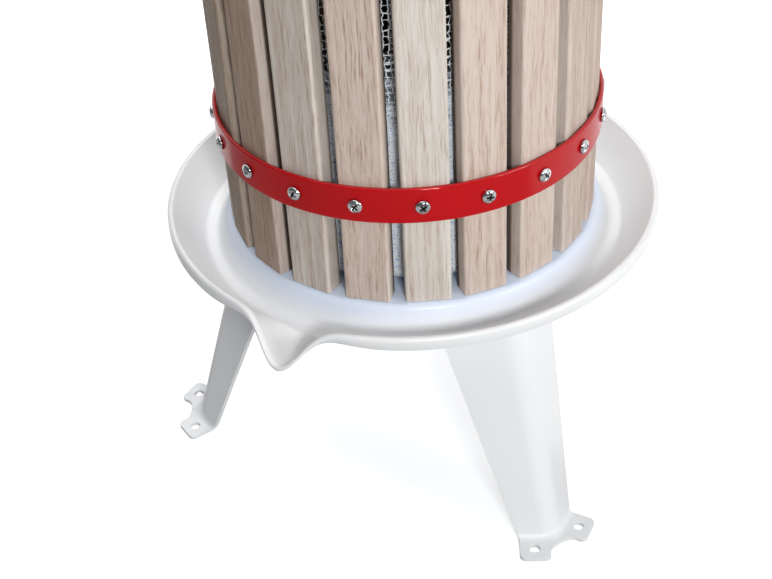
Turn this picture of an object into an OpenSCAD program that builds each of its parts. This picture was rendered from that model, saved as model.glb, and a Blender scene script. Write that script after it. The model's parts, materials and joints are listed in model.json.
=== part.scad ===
// Basket fruit press: a slatted oak basket on a spouted tray with three folded legs.
// The origin is on the floor, at the centre of the foot holes. +Z is up and the spout points along -Y.

/* [Basket] */
// Number of staves round the basket
stave_count = 20; // [16:1:22]
// Height of a stave
stave_h = 310; // [280:1:340]
// Width of a stave
stave_w = 29.5; // [25:0.5:31]
// Thickness of a stave
stave_t = 14; // [12:0.5:17]
// Rounding of a stave's long edges
stave_edge = 1.5; // [0.5:0.1:3]
// Inside diameter between the staves' inner faces
basket_bore = 225; // [212:1:234]
// Room between the staves' feet and the tray
stave_seat = 0.05; // [0.02:0.01:0.1]
// Turn of the basket as it stands on the tray, in degrees
basket_turn = -4.1; // [-9:0.1:9]
// Height of a hoop band
hoop_w = 25; // [18:0.5:34]
// Thickness of a hoop band
hoop_t = 3; // [2:0.1:4]
// Distance from a hoop to the nearer end of the staves
hoop_inset = 63.5; // [40:0.5:90]
// Room between the staves' outer corners and a hoop
hoop_clear = 0.3; // [0.1:0.05:0.5]

/* [Stave screws] */
// Diameter of a stave screw's shank
screw_d = 4; // [3:0.1:5]
// Length of a stave screw under its head
screw_l = 13; // [9:0.5:15]
// Diameter of a stave screw's head
screw_head_d = 9.4; // [7:0.1:11]
// Height of a stave screw's head
screw_head_h = 3.3; // [2:0.1:4.5]
// Room round a shank in its pilot hole
pilot_clear = 0.05; // [0.02:0.01:0.1]
// Room round a shank in its hoop hole
hoop_hole_clear = 0.25; // [0.1:0.05:0.5]

/* [Tray] */
// Height of the tray's platform above the floor
tray_z = 199; // [170:1:240]
// Outer diameter of the tray's rim
tray_d = 343.6; // [334:0.1:370]
// Thickness of the tray's sheet
tray_sheet = 2; // [1.2:0.1:2.5]
// Rise of the rim above the platform
rim_rise = 6.6; // [3:0.1:12]
// Width over the rolled rim
rim_w = 3.8; // [3.6:0.1:5]
// Depth of the rim's turned-down lip
rim_lip = 8.5; // [7:0.1:12]
// Depth of the gutter below the platform
gutter_depth = 18; // [12:0.5:22]
// Run of the gutter's inner wall
gutter_fall = 8; // [6:0.5:10]
// Width of the gutter's flat floor
gutter_floor = 9; // [8:0.5:11]
// Platform left outside the staves' corners
platform_margin = 3; // [2:0.1:4]
// Radius of the platform's edge
platform_edge_r = 5; // [4:0.1:6]
// Radius between the gutter's inner wall and its floor
gutter_r = 4.5; // [3.5:0.1:5.5]
// Radius between the gutter's floor and its outer wall
wall_foot_r = 5; // [4:0.1:6]
// Radius of the rim's two bends
rim_r = 2.3; // [2.2:0.05:2.4]
// Reach of the spout past the rim
spout_reach = 12.3; // [6:0.1:20]
// Drop of the spout's lip below the gutter floor
spout_fall = 1.7; // [0:0.1:4]
// Depth of the turned-down lip left at the spout's tip
spout_lip = 3; // [2.6:0.1:6]
// Half angle over which the rim sinks into the spout, in degrees
spout_sector = 24; // [18:1:30]
// Sharpness of the spout's throat
spout_power = 12; // [8:1:16]
// Sharpness of the lip's narrowing towards the spout
lip_power = 2; // [1:0.5:4]

/* [Legs] */
// Thickness of a leg's sheet
leg_sheet = 3; // [2:0.1:4]
// Diameter of the circle through the foot holes
foot_circle = 358; // [346:1:376]
// Spacing of the two holes in one foot
foot_pair = 38.4; // [36:0.1:42]
// Diameter of a foot hole
foot_hole_d = 7.5; // [5:0.1:9]
// Distance from a leg's face to its foot holes
foot_reach = 10; // [9:0.1:13]
// Metal left outside a foot hole
foot_edge = 9; // [7:0.1:12]
// Width of a foot ear
foot_w = 21; // [17:0.1:22]
// Rounding of a foot ear's corners
foot_corner = 3.5; // [1:0.1:6]
// Fall of each flange back from the leg's ridge, seen from above, in degrees
leg_fold = 33; // [26:1:38]
// Radius of the leg's ridge
ridge_r = 18; // [12:0.5:20]
// Inner radius of the bends at a leg's two ends
tab_bend = 5; // [3:0.1:5.5]
// Distance of a leg's ridge inside the platform's edge at the top
leg_inset = 9.7; // [7:0.1:14]
// Width of a flange at the top of a leg
leg_top_w = 60; // [54:0.5:64]
// Width of a leg's upper tab
top_tab_w = 26; // [20:0.5:30]
// Distance from a flange to the bolt in its upper tab
top_tab_reach = 15; // [14:0.5:18]
// Metal left past an upper tab's bolt
top_tab_edge = 11; // [8:0.5:14]
// Distance along a flange from the ridge to the upper bolt
top_tab_at = 38; // [34:0.5:40]

/* [Leg bolts] */
// Diameter of a leg bolt
bolt_d = 6; // [5:0.5:8]
// Diameter of a leg bolt's low head
bolt_head_d = 13; // [11:0.5:15]
// Height of a leg bolt's low head
bolt_head_h = 2.5; // [1.5:0.1:3.5]
// Width across the flats of a leg nut
leg_nut_af = 10; // [9:0.5:12]
// Height of a leg nut
leg_nut_h = 5; // [4:0.1:7]
// Thread left past a nut
bolt_proud = 3; // [1:0.5:5]
// Room round a bolt or stud in its hole
bolt_clear = 0.05; // [0.02:0.01:0.1]

/* [Spindle] */
// Outer diameter of the threaded spindle
spindle_d = 22; // [18:0.5:26]
// Reach of the spindle above the staves' upper ends
spindle_proud = 145; // [130:1:190]
// Bevel at the spindle's top
spindle_bevel = 2; // [1:0.1:4]
// Diameter of the spindle's collar
collar_d = 40; // [34:0.5:44]
// Height of the spindle's collar
collar_h = 6; // [4:0.5:10]
// Diameter of the seal under the collar
gasket_d = 44; // [42:0.5:48]
// Thickness of the seal
gasket_t = 2; // [1:0.1:3]
// Diameter of the stud below the collar
stud_d = 16; // [12:0.5:17]
// Diameter of the base plate under the tray
base_d = 90; // [70:1:104]
// Thickness of the base plate
base_t = 6; // [4:0.5:10]
// Diameter of the base washer
base_washer_d = 32; // [30:0.5:40]
// Thickness of the base washer
base_washer_t = 3; // [2:0.1:4]
// Width across the flats of the base nut
base_nut_af = 24; // [22:0.5:27]
// Height of the base nut
base_nut_h = 13; // [10:0.5:16]
// Stud left past the base nut
stud_proud = 4; // [2:0.5:8]

/* [Bag] */
// Thickness of the bag's cloth with its folds
bag_t = 1; // [0.6:0.1:1.5]
// Room between the bag and the staves
bag_clear = 0.6; // [0.3:0.1:1]
// Distance from the bag's hem to the tops of the staves
bag_inset = 14; // [8:0.5:30]
// Room between the bag's floor and the bolt heads
bag_lift = 0.3; // [0.3:0.05:0.5]
// Room round the seal in the bag's floor
bag_hole_clear = 2; // [1:0.1:4]

/* [Press stack] */
// Depth of the pressing plates' underside below the staves' upper ends at rest
plate_drop = 65; // [55:1:75]
// Thickness of a pressing plate
plate_t = 22; // [16:0.5:28]
// Room between the pressing plates and the bag
plate_clear = 3.4; // [2:0.1:6]
// Slit between the two pressing plates
plate_slit = 2; // [1:0.1:4]
// Rounding of a pressing plate's edges
plate_edge = 2; // [1:0.1:4]
// Room between the stack and the spindle
stack_clear = 2; // [1:0.1:4]
// Width of a pressing block
block_w = 45; // [36:0.5:48]
// Height of a pressing block
block_h = 45; // [40:0.5:55]
// Length of a lower block
lower_block_l = 176; // [150:1:180]
// Length of an upper block
upper_block_l = 150; // [130:1:170]
// Bevel on a block's long edges
block_bevel = 2.5; // [1:0.1:5]
// Diameter of the thrust plate
thrust_d = 74; // [66:0.5:84]
// Thickness of the thrust plate
thrust_t = 5; // [3:0.1:8]

/* [Press head] */
// Diameter of the head's foot
head_foot_d = 64; // [60:0.5:66]
// Thickness of the head's foot
head_foot_h = 8; // [6:0.5:10]
// Diameter of the head's waist
head_waist_d = 42; // [38:0.5:44]
// Diameter of the head's hub
head_hub_d = 50; // [48:0.5:56]
// Height of the head
head_h = 62; // [58:0.5:70]
// Height of the arms' axis in the head
arm_z = 40; // [36:0.5:42]
// Diameter of an arm socket's boss
boss_d = 26; // [22:0.5:30]
// Reach of an arm socket from the axis
boss_reach = 46; // [40:0.5:54]
// Metal between the spindle and an arm's end
socket_wall = 8; // [5:0.5:10]
// Bevel round the head's crown
head_crown = 6; // [3:0.5:8]
// Running room between the head and the spindle
thread_clear = 0.08; // [0.02:0.01:0.1]
// Diameter of an arm
arm_d = 14; // [10:0.5:16]
// Distance from the axis to the end of a grip
arm_reach = 212; // [190:1:230]
// Diameter of a grip
grip_d = 30; // [26:0.5:34]
// Diameter of a grip at its ends
grip_end_d = 23.4; // [21:0.1:25]
// Length of a grip's rounded nose
grip_nose = 5; // [3:0.5:6]
// Length of a grip
grip_l = 94; // [80:1:110]
// Wood past the arm's end in a grip
grip_cap = 8; // [5:0.5:12]
// Room round an arm in its socket and grip
arm_clear = 0.05; // [0.02:0.01:0.1]

/* [Hidden] */
$fn = 64;
// Facets round the largest circles
wide_fn = 144;
// Overshoot of a cut past the face that it opens
cut = 1;

white = [0.93, 0.93, 0.92];
red = [0.75, 0.05, 0.06];
oak = [0.80, 0.69, 0.58];
zinc = [0.75, 0.76, 0.77];
steel = [0.55, 0.56, 0.58];
rubber = [0.12, 0.12, 0.12];
net = [0.95, 0.95, 0.96];

function two_digits(i) = i < 10 ? str("0", i) : str(i);
function stave_name(i) = str("stave_", two_digits(i));

// Basket radii and heights
stave_pitch = 360 / stave_count;
stave_in = basket_bore / 2;
stave_out = stave_in + stave_t;
stave_corner = norm([stave_out - stave_edge, stave_w / 2 - stave_edge]) + stave_edge;
hoop_in = stave_corner + hoop_clear;
hoop_out = hoop_in + hoop_t;
basket_z = tray_z + stave_seat;
basket_top = basket_z + stave_h;
lower_hoop_z = basket_z + hoop_inset;
upper_hoop_z = basket_top - hoop_inset - hoop_w;

// Tray radii and heights, from the platform outwards
platform_r = stave_corner + platform_margin;
gutter_in = platform_r + gutter_fall;
gutter_out = gutter_in + gutter_floor;
rim_out = tray_d / 2;
rim_in = rim_out - rim_w;
spout_drop = rim_rise + gutter_depth + spout_fall;
tray_under = tray_z - tray_sheet;

// Leg angles and places
leg_angles = [-30, -150, 90];
foot_v = foot_pair / 2;
foot_u = sqrt(pow(foot_circle / 2, 2) - pow(foot_v, 2));
foot_at = (foot_v - sin(leg_fold) * foot_reach) / cos(leg_fold);
leg_foot_r = foot_u + sin(leg_fold) * foot_at - cos(leg_fold) * foot_reach;
leg_top_r = platform_r - leg_inset;
leg_lean = atan2(leg_foot_r - leg_top_r, tray_under);
flange_lean = atan(tan(leg_lean) * cos(leg_fold));
ridge_fold = atan(tan(leg_fold) * cos(leg_lean));
leg_foot_w = foot_at + foot_w / 2;
bend_top = leg_sheet + tab_bend - tab_bend * sin(flange_lean);
top_bolt_out = leg_sheet / cos(flange_lean) + top_tab_reach;
top_bolt_u = leg_top_r - sin(leg_fold) * top_tab_at - cos(leg_fold) * top_bolt_out;
top_bolt_v = cos(leg_fold) * top_tab_at - sin(leg_fold) * top_bolt_out;
leg_nut_z = tray_under - leg_sheet - leg_nut_h;
bolt_hole_d = bolt_d + 2 * bolt_clear;

// Heights of the spindle's pieces
stud_hole_d = stud_d + 2 * bolt_clear;
collar_z = tray_z + gasket_t;
base_z = tray_under - base_t;
base_washer_z = base_z - base_washer_t;
base_nut_z = base_washer_z - base_nut_h;

// Bag and press stack
bag_out = stave_in - bag_clear;
bag_z = tray_z + bolt_head_h + bag_lift;
bag_top = basket_top - bag_inset;
plate_r = bag_out - bag_t - plate_clear;
plate_z = basket_top - plate_drop;
stack_hole_r = spindle_d / 2 + stack_clear;
lower_block_z = plate_z + plate_t;
upper_block_z = lower_block_z + block_h;
thrust_z = upper_block_z + block_h;
head_z = thrust_z + thrust_t;
socket_in = spindle_d / 2 + thread_clear + socket_wall;
grip_in = arm_reach - grip_l;
arm_end = arm_reach - grip_cap;

function unit(v) = v / norm(v);
// Points of an arc of radius r that rounds the corner b on the way from a to c
function rounded(a, b, c, r, steps) =
    let (
        go = unit(b - a),
        leave = unit(c - b),
        side = sign(go.x * leave.y - go.y * leave.x),
        turn = acos(go * leave),
        inward = side * [-go.y, go.x],
        start = b - go * r * tan(turn / 2),
        centre = start + r * inward
    )
    [for (i = [0:steps]) let (w = turn * i / steps) centre + r * (sin(w) * go - cos(w) * inward)];
// Corner b moved to the parallel line at a distance on the right of the way from a to c
function beside(a, b, c, distance) =
    let (
        go = unit(b - a),
        leave = unit(c - b),
        n1 = [go.y, -go.x],
        n2 = [leave.y, -leave.x]
    )
    b + distance * (n1 + n2) / (1 + n1 * n2);

// Corners of the tray's upper face as radius and height over the platform
tray_line = [
    [0, 0],
    [platform_r, 0],
    [gutter_in, -gutter_depth],
    [gutter_out, -gutter_depth],
    [rim_in, rim_rise],
    [rim_out, rim_rise],
    [rim_out, rim_rise - rim_lip]
];
// Radius at each corner, positive where the upper face is hollow
corner_bend = [0, -platform_edge_r, gutter_r, wall_foot_r, -rim_r, -rim_r, 0];
corner_steps = [0, 3, 3, 2, 2, 3, 0];
least_bend = 0.1;

// The tray's corner line at a depth in the sheet, with its corners rounded about the same centres
function sheet_line(depth) =
    let (line = [
        for (i = [0:6])
            i == 0 ? tray_line[0] - [0, depth]
            : i == 6 ? tray_line[6] - [depth, 0]
            : beside(tray_line[i - 1], tray_line[i], tray_line[i + 1], depth)
    ])
    [
        line[0],
        for (i = [1:5])
            let (bend = max(least_bend, abs(corner_bend[i] + depth)))
            each rounded(line[i - 1], line[i], line[i + 1], bend, corner_steps[i]),
        line[6]
    ];
function reversed(list) = [for (i = [len(list) - 1:-1:0]) list[i]];
function tail(list) = [for (i = [1:len(list) - 1]) list[i]];
// Open section of the tray from the platform's upper edge, over the rim, to the platform's lower edge
tray_section = concat(tail(sheet_line(0)), reversed(tail(sheet_line(tray_sheet))));

// Headings of the tray's slices: closer together towards the spout's middle, even over the rest
half_slices = 9;
plain_slices = 44;
slice_crowding = 1.4;
plain_step = (360 - 2 * spout_sector) / plain_slices;
slice_headings = concat(
    [
        for (i = [-half_slices:half_slices])
            sign(i) * spout_sector * pow(abs(i) / half_slices, slice_crowding) - 90
    ],
    [for (i = [1:plain_slices - 1]) spout_sector - 90 + i * plain_step]
);

// Share of the spout's move that a point of the section takes: none at the gutter floor, all at the rim
function spout_share(p) = min(1, max(0, (p.x - gutter_out) / (rim_in - gutter_out)));
// Share of the lip's narrowing that a point of the section takes: none on the rim, all at the lip's edge
function lip_share(p) =
    p.x < rim_out - tray_sheet - least_bend ? 0 : max(0, rim_rise - rim_r - p.y) / (rim_lip - rim_r);
// How near a heading is to the spout's middle, falling from 1 to 0 over the spout's sector
function spout_near(heading) = cos(min(90, 90 * abs(heading + 90) / spout_sector));
function spout_section(heading) =
    let (
        form = pow(spout_near(heading), spout_power),
        narrowing = pow(spout_near(heading), lip_power) * (rim_lip - spout_lip)
    )
    [
        for (p = tray_section)
            p + form * spout_share(p) * [spout_reach, -spout_drop] + [0, narrowing * lip_share(p)]
    ];

// Round hole of a depth, cut a little past both its ends
module drill(d, depth) {
    translate([0, 0, -cut]) cylinder(d = d, h = depth + 2 * cut);
}

// Pressed dish whose rim is drawn out and down into a pouring lip
module tray_dish() {
    n = len(tray_section);
    slices = len(slice_headings);
    points = [
        for (heading = slice_headings, p = spout_section(heading))
            [p.x * cos(heading), p.x * sin(heading), p.y]
    ];
    sides = [
        for (i = [0:slices - 1], j = [0:n - 2])
            let (
                a = i * n + j,
                b = a + 1,
                d = ((i + 1) % slices) * n + j,
                c = d + 1
            )
            each [[a, d, c], [a, c, b]]
    ];
    platform_top = [[for (i = [slices - 1:-1:0]) i * n]];
    platform_under = [[for (i = [0:slices - 1]) i * n + n - 1]];
    polyhedron(points, concat(sides, platform_top, platform_under));
}

module tray() {
    color(white) difference() {
        translate([0, 0, tray_z]) tray_dish();
        translate([0, 0, tray_under]) drill(stud_hole_d, tray_sheet);
        at_leg_bolts() translate([0, 0, tray_under]) drill(bolt_hole_d, tray_sheet);
    }
}

// Places its children at each upper leg bolt
module at_leg_bolts() {
    for (a = leg_angles, side = [-1, 1])
        rotate([0, 0, a]) translate([top_bolt_u, side * top_bolt_v, 0]) children();
}

// Length of flange that a bent tab carries past its bend
tab_stub = 1;
// Side view of a bent tab: a flat of length out, a bend, and a start of the leaning flange
function tab_profile(out) =
    let (
        lift = leg_sheet + tab_bend,
        back = (tab_bend - lift * sin(flange_lean)) / cos(flange_lean),
        centre = [back, lift],
        from = 270,
        to = 180 + flange_lean,
        steps = 6,
        rise = [-sin(flange_lean), cos(flange_lean)],
        arc = [for (i = [0:steps]) let (w = from + (to - from) * i / steps) [cos(w), sin(w)]]
    )
    concat(
        [[out, 0], [out, leg_sheet]],
        [for (p = arc) centre + tab_bend * p],
        [for (r = [tab_bend, lift]) centre + r * arc[steps] + tab_stub * rise],
        [for (i = [steps:-1:0]) centre + lift * arc[i]]
    );

// Drilled tab, bent from a flange that passes through the X axis and leans back
module bent_tab(w, reach, edge, hole_d) {
    out = reach + edge;
    difference() {
        intersection() {
            rotate([90, 0, 90]) translate([0, 0, -w / 2]) linear_extrude(w) polygon(tab_profile(out));
            translate([0, 0, -cut]) linear_extrude(leg_sheet + tab_bend + tab_stub + 2 * cut) union() {
                translate([-w / 2, -out]) square([w, 2 * out - foot_corner]);
                translate([foot_corner - w / 2, -out]) square([w - 2 * foot_corner, 2 * out]);
                for (side = [-1, 1])
                    translate([side * (w / 2 - foot_corner), out - foot_corner]) circle(foot_corner);
            }
        }
        translate([0, reach, 0]) drill(hole_d, leg_sheet);
    }
}

// Width of a flange at a height, measured level from the ridge line
function flange_w(z) = leg_foot_w + (leg_top_w - leg_foot_w) * z / tray_under;
// Point of a flange's face: distance square to the ridge, and distance along it
function flange_point(w, z) =
    let (slant = sin(leg_fold) * sin(leg_lean))
    [w * sqrt(1 - slant * slant), z / cos(leg_lean) + w * slant];

// One flat flange of the leg, tapered from its top to its foot
module leg_flange() {
    low = bend_top;
    high = tray_under - bend_top;
    w0 = ridge_r * tan(ridge_fold);
    face = [
        flange_point(w0, low),
        flange_point(flange_w(low), low),
        flange_point(flange_w(high), high),
        flange_point(w0, high)
    ];
    translate([leg_foot_r, 0, 0]) rotate([0, -leg_lean, 0]) rotate([0, 0, -90 - ridge_fold])
        rotate([90, 0, 0]) linear_extrude(leg_sheet) polygon(face);
}

// Rounded ridge that joins the two flanges
module leg_ridge() {
    low = bend_top / cos(leg_lean);
    high = (tray_under - bend_top) / cos(leg_lean);
    translate([leg_foot_r, 0, 0]) rotate([0, -leg_lean, 0])
        translate([-ridge_r / cos(ridge_fold), 0, 0]) rotate([0, 0, -ridge_fold])
            rotate_extrude(angle = 2 * ridge_fold)
                translate([ridge_r - leg_sheet, low]) square([leg_sheet, high - low]);
}

// Half of a leg: a flange with its foot ear and its upper tab
module leg_half() {
    leg_flange();
    translate([leg_foot_r, 0, 0]) rotate([0, 0, -90 - leg_fold]) translate([foot_at, 0, 0])
        bent_tab(foot_w, foot_reach, foot_edge, foot_hole_d);
    translate([leg_top_r, 0, tray_under]) rotate([0, 0, -90 - leg_fold])
        translate([top_tab_at, -leg_sheet / cos(flange_lean), 0]) rotate([180, 0, 0])
            bent_tab(top_tab_w, top_tab_reach, top_tab_edge, bolt_hole_d);
}

module leg(angle) {
    color(white) rotate([0, 0, angle]) union() {
        leg_ridge();
        leg_half();
        mirror([0, 1, 0]) leg_half();
    }
}
module front_right_leg() { leg(leg_angles[0]); }
module front_left_leg() { leg(leg_angles[1]); }
module rear_leg() { leg(leg_angles[2]); }

// Low domed head on the plane z = 0
module domed_head(d, h) {
    sphere_r = (d * d / 4 + h * h) / (2 * h);
    edge = asin(d / 2 / sphere_r);
    steps = 5;
    arc = [
        for (i = [steps:-1:0])
            let (w = edge * i / steps)
            [sphere_r * sin(w), h - sphere_r + sphere_r * cos(w)]
    ];
    rotate_extrude() polygon(concat([[0, 0]], arc));
}

// Pan head: a short straight rim under a dome
module pan_head(d, h) {
    rim = h / 3;
    cylinder(d = d, h = rim);
    translate([0, 0, rim]) domed_head(d, h - rim);
}

module leg_bolts() {
    color(zinc) at_leg_bolts() {
        translate([0, 0, tray_z]) domed_head(bolt_head_d, bolt_head_h);
        translate([0, 0, leg_nut_z - bolt_proud])
            cylinder(d = bolt_d, h = tray_z - leg_nut_z + bolt_proud);
    }
}

// Six-sided nut with its hole, on the plane z = 0
module hex_nut(af, h, hole_d) {
    difference() {
        cylinder(d = af / cos(30), h = h, $fn = 6);
        drill(hole_d, h);
    }
}

module leg_nuts() {
    color(zinc) at_leg_bolts() translate([0, 0, leg_nut_z])
        hex_nut(leg_nut_af, leg_nut_h, bolt_hole_d);
}

module spindle() {
    top = basket_top + spindle_proud;
    color(steel) rotate_extrude() polygon([
        [0, base_nut_z - stud_proud],
        [stud_d / 2, base_nut_z - stud_proud],
        [stud_d / 2, collar_z],
        [collar_d / 2, collar_z],
        [collar_d / 2, collar_z + collar_h],
        [spindle_d / 2, collar_z + collar_h],
        [spindle_d / 2, top - spindle_bevel],
        [spindle_d / 2 - spindle_bevel, top],
        [0, top]
    ]);
}

// Flat ring on the plane z = 0 that goes over the spindle's stud
module stud_ring(d, h) {
    difference() {
        cylinder(d = d, h = h);
        drill(stud_hole_d, h);
    }
}
module spindle_gasket() { color(rubber) translate([0, 0, tray_z]) stud_ring(gasket_d, gasket_t); }
module base_plate() { color(steel) translate([0, 0, base_z]) stud_ring(base_d, base_t); }
module base_washer() {
    color(zinc) translate([0, 0, base_washer_z]) stud_ring(base_washer_d, base_washer_t);
}
module base_nut() {
    color(zinc) translate([0, 0, base_nut_z]) hex_nut(base_nut_af, base_nut_h, stud_hole_d);
}

function stave_angle(i) = basket_turn + (i - 1) * stave_pitch - 90;

// Places its children, which point along +X, at the screw of stave i in the hoop that starts at hoop_z
module at_screw(i, hoop_z) {
    rotate([0, 0, stave_angle(i)]) translate([0, 0, hoop_z + hoop_w / 2]) rotate([0, 90, 0]) children();
}

module stave(i) {
    color(oak) difference() {
        rotate([0, 0, stave_angle(i)]) translate([stave_in, -stave_w / 2, basket_z])
            linear_extrude(stave_h) {
                translate([stave_edge, 0]) square([stave_t - 2 * stave_edge, stave_w]);
                translate([0, stave_edge]) square([stave_t, stave_w - 2 * stave_edge]);
                for (x = [stave_edge, stave_t - stave_edge], y = [stave_edge, stave_w - stave_edge])
                    translate([x, y]) circle(stave_edge);
            }
        for (z = [lower_hoop_z, upper_hoop_z])
            at_screw(i, z) translate([0, 0, hoop_out - screw_l])
                cylinder(d = screw_d + 2 * pilot_clear, h = screw_l);
    }
}

module hoop(z) {
    color(red) difference() {
        translate([0, 0, z]) rotate_extrude($fn = wide_fn)
            translate([hoop_in, 0]) square([hoop_t, hoop_w]);
        for (i = [1:stave_count])
            at_screw(i, z) translate([0, 0, hoop_in]) drill(screw_d + 2 * hoop_hole_clear, hoop_t);
    }
}
module lower_hoop() { hoop(lower_hoop_z); }
module upper_hoop() { hoop(upper_hoop_z); }

module hoop_screws(z) {
    color(zinc) for (i = [1:stave_count])
        at_screw(i, z) translate([0, 0, hoop_out]) {
            pan_head(screw_head_d, screw_head_h);
            translate([0, 0, -screw_l]) cylinder(d = screw_d, h = screw_l);
        }
}
module lower_screws() { hoop_screws(lower_hoop_z); }
module upper_screws() { hoop_screws(upper_hoop_z); }

module press_bag() {
    color(net) difference() {
        translate([0, 0, bag_z]) cylinder(r = bag_out, h = bag_top - bag_z, $fn = wide_fn);
        translate([0, 0, bag_z + bag_t]) cylinder(r = bag_out - bag_t, h = bag_top, $fn = wide_fn);
        translate([0, 0, bag_z]) drill(gasket_d + 2 * bag_hole_clear, bag_t);
    }
}

// Half-round pressing plate on the +X side
module half_plate() {
    color(oak) translate([0, 0, plate_z]) difference() {
        rotate_extrude($fn = wide_fn) polygon([
            [0, 0],
            [plate_r - plate_edge, 0],
            [plate_r, plate_edge],
            [plate_r, plate_t - plate_edge],
            [plate_r - plate_edge, plate_t],
            [0, plate_t]
        ]);
        drill(2 * stack_hole_r, plate_t);
        translate([plate_slit / 2 - 2 * plate_r, -2 * plate_r, -cut])
            cube([2 * plate_r, 4 * plate_r, plate_t + 2 * cut]);
    }
}
module press_plate_right() { half_plate(); }
module press_plate_left() { rotate([0, 0, 180]) half_plate(); }

// Bevelled block along X, standing on z = 0 beside the spindle on the +Y side
module block(l) {
    b = block_bevel;
    color(oak) translate([-l / 2, stack_hole_r, 0]) rotate([90, 0, 90]) linear_extrude(l) polygon([
        [b, 0],
        [block_w - b, 0],
        [block_w, b],
        [block_w, block_h - b],
        [block_w - b, block_h],
        [b, block_h],
        [0, block_h - b],
        [0, b]
    ]);
}
module lower_block_rear() { translate([0, 0, lower_block_z]) block(lower_block_l); }
module lower_block_front() { translate([0, 0, lower_block_z]) rotate([0, 0, 180]) block(lower_block_l); }
module upper_block_left() { translate([0, 0, upper_block_z]) rotate([0, 0, 90]) block(upper_block_l); }
module upper_block_right() { translate([0, 0, upper_block_z]) rotate([0, 0, -90]) block(upper_block_l); }

module thrust_plate() {
    color(steel) translate([0, 0, thrust_z]) difference() {
        cylinder(d = thrust_d, h = thrust_t);
        drill(2 * stack_hole_r, thrust_t);
    }
}

module press_head() {
    waist_z = head_foot_h + (head_foot_d - head_waist_d) / 2;
    hub_steepness = 3;
    hub_z = waist_z + hub_steepness * (head_hub_d - head_waist_d) / 2;
    color(red) translate([0, 0, head_z]) difference() {
        union() {
            rotate_extrude() polygon([
                [0, 0],
                [head_foot_d / 2, 0],
                [head_foot_d / 2, head_foot_h],
                [head_waist_d / 2, waist_z],
                [head_hub_d / 2, hub_z],
                [head_hub_d / 2, head_h - head_crown],
                [head_hub_d / 2 - head_crown, head_h],
                [0, head_h]
            ]);
            translate([-boss_reach, 0, arm_z]) rotate([0, 90, 0])
                cylinder(d = boss_d, h = 2 * boss_reach);
        }
        drill(spindle_d + 2 * thread_clear, head_h);
        for (turn = [0, 180])
            rotate([0, 0, turn]) translate([socket_in, 0, arm_z]) rotate([0, 90, 0])
                cylinder(d = arm_d + 2 * arm_clear, h = boss_reach);
    }
}

// Straight arm along +X
module arm() {
    color(steel) translate([socket_in, 0, head_z + arm_z]) rotate([0, 90, 0])
        cylinder(d = arm_d, h = arm_end - socket_in);
}
module right_arm() { arm(); }
module left_arm() { rotate([0, 0, 180]) arm(); }

// Turned grip along +X: a barrel with a bead at each end
module grip() {
    steps = 10;
    end_r = grip_end_d / 2;
    nose_r = end_r - grip_nose / 2;
    swell = grip_d / 2 - end_r;
    barrel_l = grip_l - 2 * grip_nose;
    barrel = [
        for (i = [0:steps])
            [end_r + swell * sin(180 * i / steps), grip_nose + barrel_l * i / steps]
    ];
    color(oak) translate([grip_in, 0, head_z + arm_z]) rotate([0, 90, 0]) difference() {
        rotate_extrude() polygon(concat(
            [[0, 0], [nose_r, 0]],
            barrel,
            [[nose_r, grip_l], [0, grip_l]]
        ));
        translate([0, 0, -cut]) cylinder(d = arm_d + 2 * arm_clear, h = grip_l - grip_cap + cut);
    }
}
module right_grip() { grip(); }
module left_grip() { rotate([0, 0, 180]) grip(); }

tray();
front_right_leg();
front_left_leg();
rear_leg();
leg_bolts();
leg_nuts();
spindle();
spindle_gasket();
base_plate();
base_washer();
base_nut();
for (i = [1:stave_count])
    stave(i);
lower_hoop();
upper_hoop();
lower_screws();
upper_screws();
press_bag();
press_plate_left();
press_plate_right();
lower_block_front();
lower_block_rear();
upper_block_left();
upper_block_right();
thrust_plate();
press_head();
left_arm();
right_arm();
left_grip();
right_grip();
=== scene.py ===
# %% [markdown]
# # A basket press for fruit
# The press stands ready as exact solids: a spouted tray on three folded legs, a slatted oak basket held by two
# hoops, and a screw that drives two half-round plates down into a net bag. Blender never moves those solids.
# This lesson gives them their finish: each visible piece is worked out as a smooth surface with numpy, laid
# over its solid, and painted with nodes.

# %% Load the frame
import json
from math import atan, atan2, cos, degrees, pi, radians, sin, tan

import bmesh
import bpy
import numpy as np
from mathutils import Matrix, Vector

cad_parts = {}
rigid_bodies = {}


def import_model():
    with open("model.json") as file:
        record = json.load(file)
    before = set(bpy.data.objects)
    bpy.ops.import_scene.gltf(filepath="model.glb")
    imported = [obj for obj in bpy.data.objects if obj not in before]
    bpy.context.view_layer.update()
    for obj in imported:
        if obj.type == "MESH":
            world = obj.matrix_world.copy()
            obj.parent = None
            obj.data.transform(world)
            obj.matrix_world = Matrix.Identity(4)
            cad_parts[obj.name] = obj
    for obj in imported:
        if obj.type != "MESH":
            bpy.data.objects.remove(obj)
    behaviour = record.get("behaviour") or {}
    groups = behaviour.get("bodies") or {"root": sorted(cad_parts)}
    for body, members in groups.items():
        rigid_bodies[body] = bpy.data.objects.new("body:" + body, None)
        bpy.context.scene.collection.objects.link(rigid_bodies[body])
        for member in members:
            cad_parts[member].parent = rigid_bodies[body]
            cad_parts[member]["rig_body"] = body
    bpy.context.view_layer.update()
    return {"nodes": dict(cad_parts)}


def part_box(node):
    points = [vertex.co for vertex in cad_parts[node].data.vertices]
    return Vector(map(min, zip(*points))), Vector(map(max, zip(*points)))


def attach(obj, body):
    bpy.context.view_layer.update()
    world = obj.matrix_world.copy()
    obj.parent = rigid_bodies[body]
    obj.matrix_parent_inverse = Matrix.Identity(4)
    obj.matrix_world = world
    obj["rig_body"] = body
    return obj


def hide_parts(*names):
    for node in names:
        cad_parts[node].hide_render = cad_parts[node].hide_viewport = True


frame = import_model()
mm = 0.001

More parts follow.
